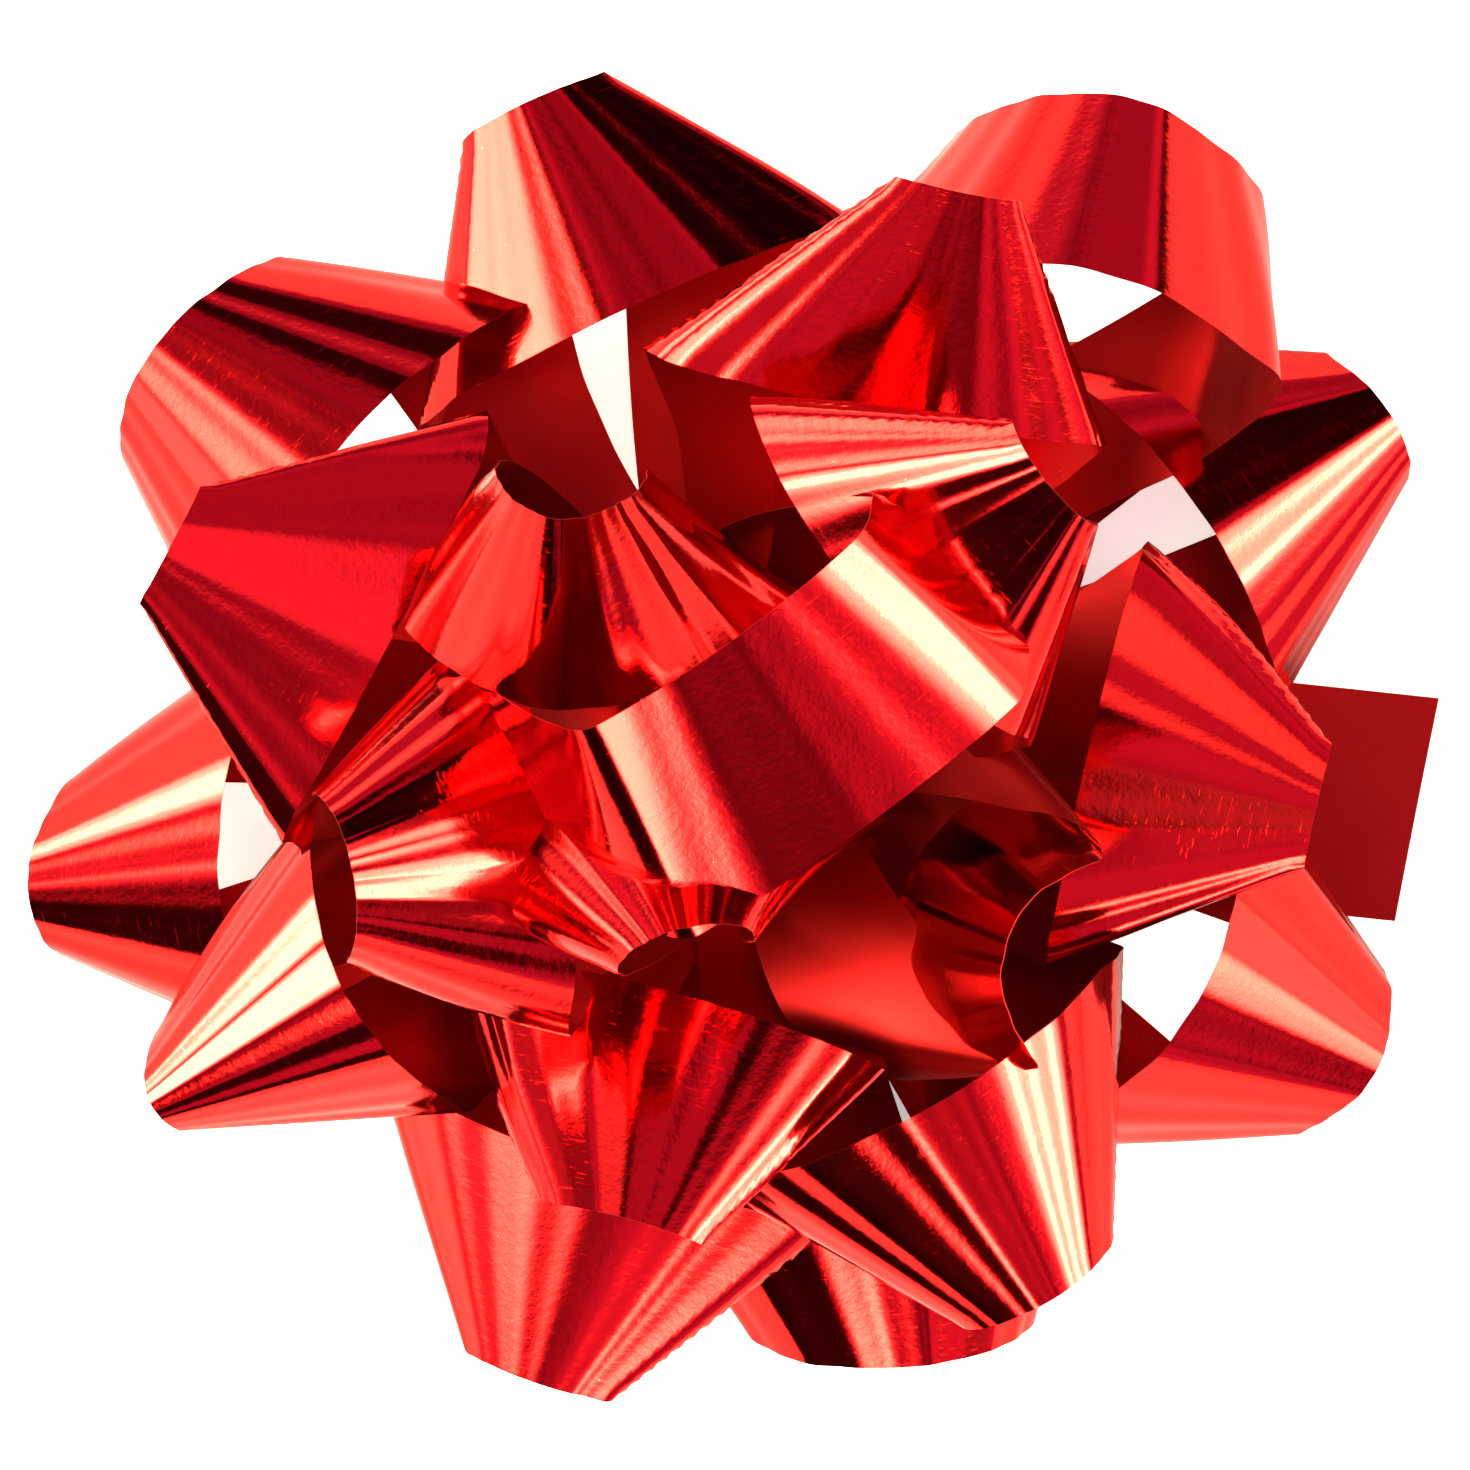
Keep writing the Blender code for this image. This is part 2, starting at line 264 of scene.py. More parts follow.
def section_arc(spread, rise, crown):
    """Length along the cone's section against its parameter.

    The section is drawn on a unit ball about the apex, and its length is the running sum of the steps
    between neighbouring points.
    """
    tau = np.linspace(-1.5 * np.pi, 1.5 * np.pi, 1201)
    across, upward = section(spread, rise, crown, tau)
    tilt = np.maximum(np.hypot(across, upward), 1e-9)
    unit = np.stack([np.cos(tilt), np.sin(tilt) * across / tilt, np.sin(tilt) * upward / tilt], axis=1)
    steps = np.linalg.norm(np.diff(unit, axis=0), axis=1)
    arc = np.concatenate([[0.0], np.cumsum(steps)])
    return tau, arc - np.interp(0.0, tau, arc)


def section_rise(spread, crown, half_wrap):
    """The half angle up and down that makes half of the section as long as half_wrap, by halving."""
    low, high = np.radians(2.0), np.radians(60.0)
    for _ in range(30):
        rise = 0.5 * (low + high)
        tau, arc = section_arc(spread, rise, crown)
        if np.interp(np.pi, tau, arc) < half_wrap:
            low = rise
        else:
            high = rise
    return rise


def cone_frame(loop, rise):
    """The cone's axis, pointing in from the apex, and its directions across and up."""
    up = np.array([0.0, 0.0, 1.0])
    slope = rise * (1.0 - loop.crown) + np.radians(loop.nod - loop.lift)
    inward = -heading(np.radians(loop.azimuth + loop.turn))
    axis = inward * np.cos(slope) + up * np.sin(slope)
    raised = up * np.cos(slope) - inward * np.sin(slope)
    across = np.cross(raised, axis)
    roll = np.radians(loop.roll)
    return axis, across * np.cos(roll) + raised * np.sin(roll), raised * np.cos(roll) - across * np.sin(roll)


def creases(place, distance, loop, phases, depth):
    """How far the section stands out at a place, as a share of its size.

    Streaks are a sum of five cosines of the place along the section, each finer one lower. Pleats are
    the mean of three waves of one less the size of a sine, which peak in sharp ridges, less a fixed
    level, and die away from the apex.
    """
    waves = np.array([3.0, 5.0, 8.0, 13.0, 21.0])
    low = np.cos(place[..., None] * waves + phases[:5]) / np.sqrt(waves)
    folds = np.array([9.0, 14.0, 23.0])
    sharp = 1.0 - np.abs(np.sin(0.5 * place[..., None] * folds + phases[5:8]))
    near = np.exp(-((distance / PLEAT_REACH) ** 2))
    return depth * (loop.streak * low.sum(axis=-1) + loop.pleat * near * (sharp.mean(axis=-1) - PLEAT_LEVEL))


def strip_points(loop, along, offset, stack, width, creasing, phases):
    """Points of a straight strip wrapped on the loop's cone.

    along runs from -1 to 1 between the ends at the core, and offset is the distance from the strip's
    centreline, away from the apex. In the flat strip a point's distance and angle from the apex are
    kept, and the angle is laid out along the cone's section. The grid's cross lines are rulings of
    the cone at the tip and square to the strip at its ends. Each leg is then drawn in to its own
    place and height on the core. Also returned: the place along the strip in the flat, and half of the
    strip's length.
    """
    lift = np.radians(loop.lift)
    spread = np.radians(loop.spread)
    skew = np.radians(loop.skew)
    gap = loop.gap * width
    centre = gap + 0.5 * width
    length = loop.reach * MM + gap
    rise = section_rise(spread, loop.crown, np.arccos(centre / length))
    axis, across, raised = cone_frame(loop, rise)
    staple = np.array([0.0, 0.0, FIRST_LAYER + loop.layer * LAYER_PITCH])
    outward = heading(np.radians(loop.azimuth))
    apex = staple + length * (outward * np.cos(lift) + np.array([0.0, 0.0, np.sin(lift)]))
    half_length = np.sqrt(length**2 - centre**2) - CORE_RADIUS
    tau, arc = section_arc(spread, rise, loop.crown)

    def wrapped(place_along, shift):
        run = half_length * np.sinh(CROWD * place_along) / np.sinh(CROWD)
        run = run * (1.0 + shift / centre * (1.0 - smoothstep(np.abs(place_along))))
        distance = np.hypot(run, centre + shift)
        place = np.interp(np.arctan2(run, centre + shift) + skew, arc, tau)
        still = 1.0 - smoothstep((np.abs(place_along) - CREASED_UNTIL) / (1.0 - CREASED_UNTIL))
        stand = 1.0 + still * creases(place, distance, loop, phases, creasing)
        side, height = section(spread, rise, loop.crown, place)
        side = side * stand
        height = height * stand
        tilt = np.maximum(np.hypot(side, height), 1e-9)
        ray = (
            np.cos(tilt)[..., None] * axis
            + (np.sin(tilt) * side / tilt)[..., None] * across
            + (np.sin(tilt) * height / tilt)[..., None] * raised
        )
        return apex + distance[..., None] * ray, run

    points, run = wrapped(along, offset)
    for side, level in ((-1.0, stack[0]), (1.0, stack[1])):
        landing = heading(np.radians(loop.azimuth - side * LEG_FAN))
        beside = side * np.array([landing[1], -landing[0], 0.0])
        foot = landing * CORE_RADIUS + np.array([0.0, 0.0, level])
        target = foot + offset[..., None] * beside
        ends, _ = wrapped(np.full_like(along, side), offset)
        pull = smoothstep((side * along - WIDE_UNTIL) / (1.0 - WIDE_UNTIL))
        points = points + pull[..., None] * (target - ends)
    return points, run, half_length


def stack_mesh(name):
    """The pressed stack: squares of ribbon with rounded corners, each turned past the one below.

    A point's radius is the stack's, less a share of the fourth power of the sine of twice its angle in
    its own square, and each square is pinched in a little at its top and bottom edges. Two fans close
    the ends, each about a point on the axis.
    """
    low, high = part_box("ribbon_core")
    bottom, top, radius = low[2], high[2], 0.5 * (high[0] - low[0])
    squares, around = 24, 96
    level = np.repeat(np.arange(squares), 3) + np.tile([0.04, 0.5, 0.96], squares)
    pinch = np.tile([0.965, 1.0, 0.965], squares)
    turn = np.repeat(np.arange(squares) * 0.71, 3)
    angle = np.linspace(0.0, 2.0 * np.pi, around, endpoint=False)
    corner = np.sin(2.0 * (angle[None, :] - turn[:, None])) ** 4
    reach = radius * pinch[:, None] * (0.985 - 0.075 * (1.0 - corner))
    height = bottom + (top - bottom) * level / squares
    level_of_ring = np.broadcast_to(height[:, None], reach.shape)
    rings = np.stack([reach * np.cos(angle), reach * np.sin(angle), level_of_ring], axis=-1)
    points = np.concatenate([rings.reshape(-1, 3), [[0.0, 0.0, height[0]], [0.0, 0.0, height[-1]]]])
    index = np.arange(len(level) * around).reshape(len(level), around)
    after = np.roll(index, -1, axis=1)
    quads = np.stack([index[:-1], after[:-1], after[1:], index[1:]], axis=-1).reshape(-1, 4)
    under = np.column_stack([after[0], index[0], np.full(around, len(points) - 2)])
    over = np.column_stack([index[-1], after[-1], np.full(around, len(points) - 1)])
    mesh = bpy.data.meshes.new(name)
    mesh.from_pydata(points, [], quads.tolist() + under.tolist() + over.tolist())
    return mesh


def sheet_mesh(name, points, flat_u, flat_v):
    """An open sheet of quads through a grid of points, with its place in the flat strip as a UV map in
    millimetres."""
    rows, columns = points.shape[:2]
    index = np.arange(rows * columns).reshape(rows, columns)
    corners = [index[:-1, :-1], index[:-1, 1:], index[1:, 1:], index[1:, :-1]]
    quads = np.stack(corners, axis=-1).reshape(-1, 4)
    mesh = bpy.data.meshes.new(name)
    mesh.from_pydata(points.reshape(-1, 3), [], quads)
    flat = np.stack([flat_u.ravel(), flat_v.ravel()], axis=1) / MM
    layer = mesh.uv_layers.new(name="flat_mm")
    layer.uv.foreach_set("vector", flat[quads.ravel()].astype(np.float32).ravel())
    mesh.shade_smooth()
    return mesh


def add_piece(name, mesh, materials, body):
    """Puts a mesh in the scene as a piece that rides on a body."""
    obj = bpy.data.objects.new(name, mesh)
    bpy.context.scene.collection.objects.link(obj)
    for mat in materials:
        mesh.materials.append(mat)
    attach(obj, body)
    return obj


def add_film(name, mesh, body, node, thickness):
    """A ribbon piece: the sheet with a thin wall, foil on one side and the plain back on the other."""
    piece = add_piece(name, mesh, [foil_material(), back_material()], body)
    wall = piece.modifiers.new("film", "SOLIDIFY")
    wall.thickness = thickness
    wall.offset = 0.0
    wall.material_offset = 1
    wall.material_offset_rim = 1
    edges = piece.modifiers.new("cut_edges", "EDGE_SPLIT")
    edges.split_angle = np.radians(70.0)
    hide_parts(node)
    return piece


def stack_levels(name):
    """Heights of a loop's two legs in the pressed stack: all legs in order of their layer, evenly spaced."""
    order = sorted(LOOPS, key=lambda key: (LOOPS[key].layer, LOOPS[key].azimuth))
    step = (STACK_TOP - STACK_BOTTOM) / (2 * len(order) - 1)
    place = 2 * order.index(name)
    return STACK_BOTTOM + place * step, STACK_BOTTOM + (place + 1) * step


def add_loop(name, loop, sizes):
    """A loop's strip: even steps from end to end, squeezed together at the tip, by even steps across."""
    along, across = np.meshgrid(
        np.linspace(-1.0, 1.0, ALONG + 1), np.linspace(-0.5, 0.5, ACROSS + 1), indexing="ij"
    )
    gather = smoothstep((np.abs(along) - WIDE_UNTIL) / (1.0 - WIDE_UNTIL))
    offset = across * (sizes.ribbon_width + (sizes.leg_width - sizes.ribbon_width) * gather)
    phases = np.random.default_rng(list(LOOPS).index(name) + CREASE_SEED).uniform(0.0, 2.0 * np.pi, 8)
    points, run, half_length = strip_points(
        loop, along, offset, stack_levels(name), sizes.ribbon_width, sizes.creasing, phases
    )
    mesh = sheet_mesh("ribbon_" + name, points, run, offset)
    return add_film("ribbon_" + name, mesh, "bow", name, sizes.film)


def add_loops(loops, sizes):
    """Every loop of a tier."""
    for name, loop in loops.items():
        add_loop(name, loop, sizes)


# Materials ------------------------------------------------------------------------------------------


def new_node(tree, kind, **values):
    """A shader node with its inputs set by name, or by number for those called in_0, in_1 and so on."""
    node = tree.nodes.new(kind)
    for key, value in values.items():
        if key.startswith("in_"):
            node.inputs[int(key[3:])].default_value = value
        elif key in node.inputs:
            node.inputs[key].default_value = value
        else:
            setattr(node, key, value)
    return node


def new_group(name, inputs, outputs):
    """An empty shader node group with its sockets. Returns the group, its input node and its output node."""
    group = bpy.data.node_groups.new(name, "ShaderNodeTree")
    for socket, kind, value in inputs:
        made = group.interface.new_socket(name=socket, in_out="INPUT", socket_type=kind)
        if value is not None:
            made.default_value = value
    for socket, kind in outputs:
        group.interface.new_socket(name=socket, in_out="OUTPUT", socket_type=kind)
    return group, group.nodes.new("NodeGroupInput"), group.nodes.new("NodeGroupOutput")


def math_node(tree, operation, first, second):
    """Two values or sockets joined by one sum."""
    node = tree.nodes.new("ShaderNodeMath")
    node.operation = operation
    for socket, value in zip(node.inputs, (first, second)):
        if isinstance(value, (int, float)):
            socket.default_value = value
        else:
            tree.links.new(value, socket)
    return node.outputs[0]


def add_tint(tree, shader, share, colour, other):
    """Base colour: from one colour to another by a share that changes over the surface."""
    tint = new_node(tree, "ShaderNodeMix", data_type="RGBA")
    tint.inputs[6].default_value = (*colour, 1.0)
    tint.inputs[7].default_value = (*other, 1.0)
    tree.links.new(share, tint.inputs[0])
    tree.links.new(tint.outputs[2], shader.inputs["Base Color"])


def add_roughness(tree, shader, share, low, high):
    """Roughness: from low to high by a share that changes over the surface."""
    spread = new_node(tree, "ShaderNodeMapRange", in_3=low, in_4=high)
    tree.links.new(share, spread.inputs["Value"])
    tree.links.new(spread.outputs["Result"], shader.inputs["Roughness"])


def add_relief(tree, shader, height, strength, distance):
    """Bump from a height that changes over the surface."""
    relief = new_node(tree, "ShaderNodeBump", Strength=strength, Distance=distance)
    tree.links.new(height, relief.inputs["Height"])
    tree.links.new(relief.outputs["Normal"], shader.inputs["Normal"])


def blank_material(name):
    """A material with a lone Principled shader. Returns the material, its tree and the shader."""
    mat = bpy.data.materials.new(name)
    mat.use_nodes = True
    return mat, mat.node_tree, mat.node_tree.nodes["Principled BSDF"]


def film_surface_group():
    """Film surface: a fine orange peel, long soft waves, scratches along the ribbon and small specks.

    Every pattern lies in the flat strip, in millimetres. Height joins the orange peel, the waves and
    the scratches; Scuff is where the surface is duller; Speck is where a dust speck lies.
    """
    found = bpy.data.node_groups.get("film_surface")
    if found:
        return found
    group, start, end = new_group(
        "film_surface",
        [
            ("Vector", "NodeSocketVector", None),
            ("Peel", "NodeSocketFloat", 1.0),
            ("Scratches", "NodeSocketFloat", 1.0),
        ],
        [("Height", "NodeSocketFloat"), ("Scuff", "NodeSocketFloat"), ("Speck", "NodeSocketFloat")],
    )
    link = group.links.new
    peel = new_node(group, "ShaderNodeTexNoise", Scale=1.6, Detail=3.0, Roughness=0.55)
    link(start.outputs["Vector"], peel.inputs["Vector"])
    waves = new_node(group, "ShaderNodeTexNoise", Scale=0.22, Detail=2.0, Roughness=0.5)
    link(start.outputs["Vector"], waves.inputs["Vector"])
    along = new_node(group, "ShaderNodeMapping", Scale=(0.25, 7.0, 1.0))
    link(start.outputs["Vector"], along.inputs["Vector"])
    hair = new_node(group, "ShaderNodeTexNoise", Scale=1.0, Detail=4.0, Roughness=0.7)
    link(along.outputs["Vector"], hair.inputs["Vector"])
    hair_lines = new_node(group, "ShaderNodeMapRange", in_1=0.62, in_2=0.80)
    link(hair.outputs["Fac"], hair_lines.inputs["Value"])
    specks = new_node(group, "ShaderNodeTexVoronoi", Scale=0.9)
    link(start.outputs["Vector"], specks.inputs["Vector"])
    small = new_node(group, "ShaderNodeMapRange", in_1=0.045, in_2=0.03)
    link(specks.outputs["Distance"], small.inputs["Value"])
    peel_height = math_node(group, "MULTIPLY", peel.outputs["Fac"], start.outputs["Peel"])
    wave_height = math_node(group, "MULTIPLY", waves.outputs["Fac"], 2.0)
    scratch = math_node(group, "MULTIPLY", hair_lines.outputs["Result"], start.outputs["Scratches"])
    height = math_node(group, "ADD", peel_height, wave_height)
    height = math_node(group, "ADD", height, math_node(group, "MULTIPLY", scratch, 0.25))
    link(height, end.inputs["Height"])
    scuff = math_node(group, "MULTIPLY", waves.outputs["Fac"], 0.6)
    link(math_node(group, "ADD", scuff, math_node(group, "MULTIPLY", scratch, 0.4)), end.inputs["Scuff"])
    link(small.outputs["Result"], end.inputs["Speck"])
    return group


def film_surface(tree, place, peel, scratches):
    """The film surface group placed in a material, with its own depth of orange peel and of scratches."""
    surface = tree.nodes.new("ShaderNodeGroup")
    surface.node_tree = film_surface_group()
    surface.inputs["Peel"].default_value = peel
    surface.inputs["Scratches"].default_value = scratches
    tree.links.new(place, surface.inputs["Vector"])
    return surface


def film_material(name, colour, dusty, metallic, coat, rough, rough_span, bump):
    """Ribbon film: its colour with paler specks, roughness from the scuffs and bump from the surface."""
    found = bpy.data.materials.get(name)
    if found:
        return found
    mat, tree, shader = blank_material(name)
    place = new_node(tree, "ShaderNodeUVMap", uv_map="flat_mm")
    surface = film_surface(tree, place.outputs["UV"], 1.0, 1.0)
    add_tint(tree, shader, surface.outputs["Speck"], colour, dusty)
    add_roughness(tree, shader, surface.outputs["Scuff"], rough, rough + rough_span)
    add_relief(tree, shader, surface.outputs["Height"], 1.0, bump)
    shader.inputs["Metallic"].default_value = metallic
    shader.inputs["Coat Weight"].default_value = coat
    shader.inputs["Coat Roughness"].default_value = 0.10
    return mat


def foil_material():
    """The ribbon's mirror side: red metallised film under a clear coat."""
    colour = tuple(bpy.context.scene.bow_colours.foil)
    return film_material("red_foil", colour, (0.75, 0.12, 0.12), 1.0, 0.22, 0.08, 0.10, 0.014 * MM)


def back_material():
    """The ribbon's plain side: deep red film with a soft sheen."""
    colour = tuple(bpy.context.scene.bow_colours.back)
    return film_material("red_back", colour, (0.40, 0.05, 0.05), 0.85, 0.0, 0.38, 0.12, 0.006 * MM)


def fibre_group():
    """Pressed fibres: fine grain with longer strands laid both ways. Height joins them, and Tone is their
    share of darker fibre."""
    found = bpy.data.node_groups.get("fibres")
    if found:
        return found
    group, start, end = new_group(
        "fibres",
        [("Vector", "NodeSocketVector", None), ("Grain", "NodeSocketFloat", 1.0)],
        [("Height", "NodeSocketFloat"), ("Tone", "NodeSocketFloat")],
    )
    link = group.links.new
    grain = new_node(group, "ShaderNodeTexNoise", Scale=5200.0, Detail=4.0, Roughness=0.65)
    link(start.outputs["Vector"], grain.inputs["Vector"])
    height = math_node(group, "MULTIPLY", grain.outputs["Fac"], start.outputs["Grain"])
    tone = None
    for turn in (0.4, 2.0):
        laid = new_node(group, "ShaderNodeMapping", Rotation=(0.0, 0.0, turn), Scale=(500.0, 4200.0, 500.0))
        link(start.outputs["Vector"], laid.inputs["Vector"])
        strands = new_node(group, "ShaderNodeTexNoise", Scale=1.0, Detail=3.0, Roughness=0.6)
        link(laid.outputs["Vector"], strands.inputs["Vector"])
        height = math_node(group, "ADD", height, math_node(group, "MULTIPLY", strands.outputs["Fac"], 0.5))
        share = strands.outputs["Fac"]
        tone = share if tone is None else math_node(group, "MULTIPLY", tone, share)
    link(height, end.inputs["Height"])
    link(tone, end.inputs["Tone"])
    return group


def fibre_material(name, colour, dark, rough, grain, bump):
    """Card or paper: its colour with darker fibres, and bump from the fibres."""
    mat, tree, shader = blank_material(name)
    place = tree.nodes.new("ShaderNodeTexCoord")
    fibres = tree.nodes.new("ShaderNodeGroup")
    fibres.node_tree = fibre_group()
    fibres.inputs["Grain"].default_value = grain
    tree.links.new(place.outputs["Object"], fibres.inputs["Vector"])
    add_tint(tree, shader, fibres.outputs["Tone"], colour, tuple(dark * value for value in colour))
    add_relief(tree, shader, fibres.outputs["Height"], 1.0, bump)
    shader.inputs["Roughness"].default_value = rough
    return mat


def foam_material(colour):
    """Closed-cell foam: small round cells pressed into the surface, with painted shade darkening their
    bottoms.
    """
    mat, tree, shader = blank_material("foam_pad")
    place = tree.nodes.new("ShaderNodeTexCoord")
    cells = new_node(tree, "ShaderNodeTexVoronoi", Scale=2600.0, feature="SMOOTH_F1")
    tree.links.new(place.outputs["Object"], cells.inputs["Vector"])
    # Painted shade: the foam's colour darkens towards the bottom of each cell, where the bump sinks in
    add_tint(tree, shader, cells.outputs["Distance"], tuple(0.78 * value for value in colour), colour)
    add_relief(tree, shader, cells.outputs["Distance"], 0.8, 0.08 * MM)
    shader.inputs["Roughness"].default_value = 0.85
    return mat


def wire_material():
    """Galvanised staple wire: draw marks round it and a slightly mottled zinc."""
    mat, tree, shader = blank_material("staple_wire")
    place = tree.nodes.new("ShaderNodeTexCoord")
    drawn = new_node(tree, "ShaderNodeMapping", Scale=(900.0, 9000.0, 900.0))
    tree.links.new(place.outputs["Object"], drawn.inputs["Vector"])
    marks = new_node(tree, "ShaderNodeTexNoise", Scale=1.0, Detail=4.0, Roughness=0.7)
    tree.links.new(drawn.outputs["Vector"], marks.inputs["Vector"])
    add_tint(tree, shader, marks.outputs["Fac"], (0.50, 0.50, 0.51), (0.72, 0.72, 0.73))
    add_roughness(tree, shader, marks.outputs["Fac"], 0.22, 0.48)
    add_relief(tree, shader, marks.outputs["Fac"], 0.6, 0.01 * MM)
    shader.inputs["Metallic"].default_value = 1.0
    return mat


def dress(node, mat):
    """Gives a frame node's own object a material in every slot."""
    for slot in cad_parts[node].material_slots:
        slot.material = mat


def core_material():
    """The pressed stack: foil seen edge on, with long waves and dull scuffs on its squares."""
    mat, tree, shader = blank_material("pressed_foil")
    place = tree.nodes.new("ShaderNodeTexCoord")
    scale = new_node(tree, "ShaderNodeMapping", Scale=(1000.0, 1000.0, 1000.0))
    tree.links.new(place.outputs["Object"], scale.inputs["Vector"])
    surface = film_surface(tree, scale.outputs["Vector"], 1.0, 1.0)
    foil = tuple(bpy.context.scene.bow_colours.foil)
    back = tuple(bpy.context.scene.bow_colours.back)
    add_tint(tree, shader, surface.outputs["Scuff"], foil, back)
    add_roughness(tree, shader, surface.outputs["Scuff"], 0.15, 0.4)
    add_relief(tree, shader, surface.outputs["Height"], 1.0, 0.02 * MM)
    shader.inputs["Metallic"].default_value = 0.9
    return mat


# Operators ------------------------------------------------------------------------------------------


class GIFTBOW_OT_stage(bpy.types.Operator):
    """Add the floor, the studio lights and the camera"""

    bl_idname = "giftbow.stage"
    bl_label = "Stage"

    def execute(self, context):
        stage = context.scene.bow_stage
        add_floor(context)
        add_room(context, stage.brightness)
        add_lights(context, stage.brightness)
        data = bpy.data.cameras.new("camera")
        data.sensor_width = 36.0
        data.lens = 36.0 * stage.camera_height / stage.view_width
        data.clip_start = 0.01
        camera = bpy.data.objects.new("camera", data)
        camera.location = (0.0, 0.25 * MM, stage.camera_height)
        context.scene.collection.objects.link(camera)
        context.scene.camera = camera
        context.scene.view_settings.view_transform = "Standard"
        context.scene.view_settings.look = "None"
        return {"FINISHED"}


def add_floor(context):
    """A square floor under the liner, of pale paint: darker in the foil's mirror, and with a little glow of
    its own where the camera sees it, so that the shade between the loops stays light."""
    half = 1.5
    corners = np.array([[-half, -half], [half, -half], [half, half], [-half, half]])
    mesh = bpy.data.meshes.new("floor")
    mesh.from_pydata(np.column_stack([corners, np.full(4, -0.02 * MM)]), [], [(0, 1, 2, 3)])
    mat, tree, shader = blank_material("pale_floor")
    shader.inputs["Roughness"].default_value = 0.8
    path = tree.nodes.new("ShaderNodeLightPath")
    floor_colour = tuple(context.scene.bow_colours.floor)
    add_tint(tree, shader, path.outputs["Is Glossy Ray"], floor_colour, (0.30, 0.28, 0.29))
    lift = new_node(tree, "ShaderNodeMix", data_type="RGBA")
    lift.inputs[6].default_value = (0.0, 0.0, 0.0, 1.0)
    lift.inputs[7].default_value = (0.45, 0.45, 0.45, 1.0)
    tree.links.new(path.outputs["Is Camera Ray"], lift.inputs[0])
    tree.links.new(lift.outputs[2], shader.inputs["Emission Color"])
    shader.inputs["Emission Strength"].default_value = 1.0
    mesh.materials.append(mat)
    floor = bpy.data.objects.new("floor", mesh)
    context.scene.collection.objects.link(floor)


def add_area(context, name, azimuth, tilt, distance, size, radiance, colour, in_reflections=True):
    """A rectangular soft light that faces the bow, given by its direction and how bright the bow sees it."""
    data = bpy.data.lights.new(name, "AREA")
    data.shape = "RECTANGLE"
    data.size, data.size_y = size
    data.energy = radiance * np.pi * size[0] * size[1]
    data.color = colour
    light = bpy.data.objects.new(name, data)
    level = np.radians(tilt)
    direction = Vector(heading(np.radians(azimuth)) * np.sin(level)) + Vector((0.0, 0.0, np.cos(level)))
    light.location = direction * distance
    light.rotation_euler = direction.to_track_quat("Z", "Y").to_euler()
    light.visible_glossy = in_reflections
    context.scene.collection.objects.link(light)
    return light


def add_room(context, brightness):
    """The room that the foil mirrors: uneven walls with dark cards and soft glows round the bow, each a
    soft-edged disc about its own direction. The camera itself sees a plain pale backdrop."""
    world = bpy.data.worlds.new("studio")
    world.use_nodes = True
    tree = world.node_tree
    room = tree.nodes["Background"]
    place = tree.nodes.new("ShaderNodeTexCoord")
    glow = None

    def disc(azimuth, tilt, inner, outer, middle, beyond):
        level = np.radians(tilt)
        towards = heading(np.radians(azimuth)) * np.sin(level) + np.array([0.0, 0.0, np.cos(level)])
        facing = new_node(tree, "ShaderNodeVectorMath", operation="DOT_PRODUCT", in_1=tuple(towards))
        tree.links.new(place.outputs["Generated"], facing.inputs[0])
        edge = new_node(tree, "ShaderNodeMapRange", interpolation_type="SMOOTHSTEP", in_3=beyond, in_4=middle)
        edge.inputs[1].default_value = np.cos(np.radians(outer))
        edge.inputs[2].default_value = np.cos(np.radians(inner))
        tree.links.new(facing.outputs["Value"], edge.inputs["Value"])
        return edge.outputs[0]

    uneven = new_node(tree, "ShaderNodeTexNoise", Scale=2.6, Detail=2.0, Roughness=0.55)
    tree.links.new(place.outputs["Generated"], uneven.inputs["Vector"])
    walls = new_node(tree, "ShaderNodeMapRange", in_1=0.36, in_2=0.64, in_3=0.25, in_4=1.35)
    tree.links.new(uneven.outputs["Fac"], walls.inputs["Value"])
    light = walls.outputs[0]
    for azimuth, tilt, inner, outer in DARK_CARDS:
        light = math_node(tree, "MULTIPLY", light, disc(azimuth, tilt, inner, outer, DARK_CARD, 1.0))
    tree.links.new(math_node(tree, "MULTIPLY", light, ROOM_STRENGTH * brightness), room.inputs["Strength"])
    for azimuth, tilt, inner, outer, radiance in GLOWS:
        patch = disc(azimuth, tilt, inner, outer, radiance * brightness, 0.0)
        glow = patch if glow is None else math_node(tree, "ADD", glow, patch)
    lamps = new_node(tree, "ShaderNodeBackground", Color=(*WARM, 1.0))
    tree.links.new(glow, lamps.inputs["Strength"])
    both = tree.nodes.new("ShaderNodeAddShader")
    tree.links.new(room.outputs[0], both.inputs[0])
    tree.links.new(lamps.outputs[0], both.inputs[1])
    room.inputs["Color"].default_value = (*ROOM_COLOUR, 1.0)
    path = tree.nodes.new("ShaderNodeLightPath")
    backdrop = new_node(tree, "ShaderNodeBackground", Color=(*BACKDROP, 1.0))
    choose = tree.nodes.new("ShaderNodeMixShader")
    tree.links.new(path.outputs["Is Camera Ray"], choose.inputs[0])
    tree.links.new(both.outputs[0], choose.inputs[1])
    tree.links.new(backdrop.outputs[0], choose.inputs[2])
    tree.links.new(choose.outputs[0], tree.nodes["World Output"].inputs["Surface"])
    context.scene.world = world


def add_lights(context, brightness):
    """Softboxes on the bow's left and right, a wide dull one over the camera, and a wash for the floor that
    the foil doesn't mirror."""
    for name, azimuth, tilt, distance, size, radiance, colour, seen in SOFTBOXES:
        add_area(context, name, azimuth, tilt, distance, size, radiance * brightness, colour, seen)


class GIFTBOW_OT_lower_loops(bpy.types.Operator):
    """Add the eight loops of the lower tier"""

    bl_idname = "giftbow.lower_loops"
    bl_label = "Lower loops"

    def execute(self, context):
        add_loops(LOWER, context.scene.bow_sizes)
        return {"FINISHED"}


